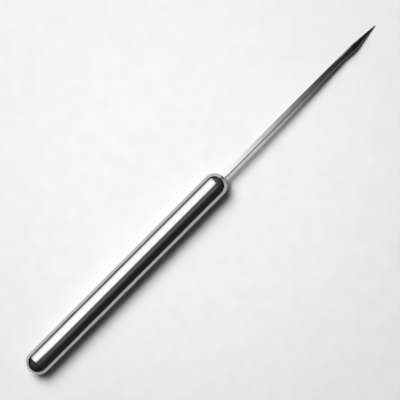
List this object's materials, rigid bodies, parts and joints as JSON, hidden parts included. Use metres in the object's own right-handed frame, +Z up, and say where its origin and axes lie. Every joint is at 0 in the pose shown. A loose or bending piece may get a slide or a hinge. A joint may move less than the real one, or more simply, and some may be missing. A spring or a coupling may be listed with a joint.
{
  "type": "scratch awl",
  "caption": "Slim scratch awl: polished hollow steel handle with domed ends and a square steel blade that swells to a spear point.",
  "frame": {"origin": "on the handle's axis, halfway along its straight barrel", "axes": "+X along the tool, from the handle towards the point; +Z up as the tool lies; +Y to its left"},
  "size_m": [0.1813, 0.0094, 0.0094],
  "materials": {
    "polished_handle": "mirror-polished stainless steel",
    "blade_steel": "fine-ground tool steel, darkening towards the point",
    "sleeve_brass": "turned brass",
    "inner_steel": "plain turned steel",
    "seal_rubber": "black rubber"
  },
  "bodies": {
    "root": {"handle_tube": "polished_handle", "nose_cap": "polished_handle", "tail_cap": "polished_handle", "blade": "blade_steel", "tang_sleeve": "sleeve_brass", "tang_pin": "inner_steel", "tie_rod": "inner_steel", "seal_rings": "seal_rubber"}
  },
  "joints": []
}
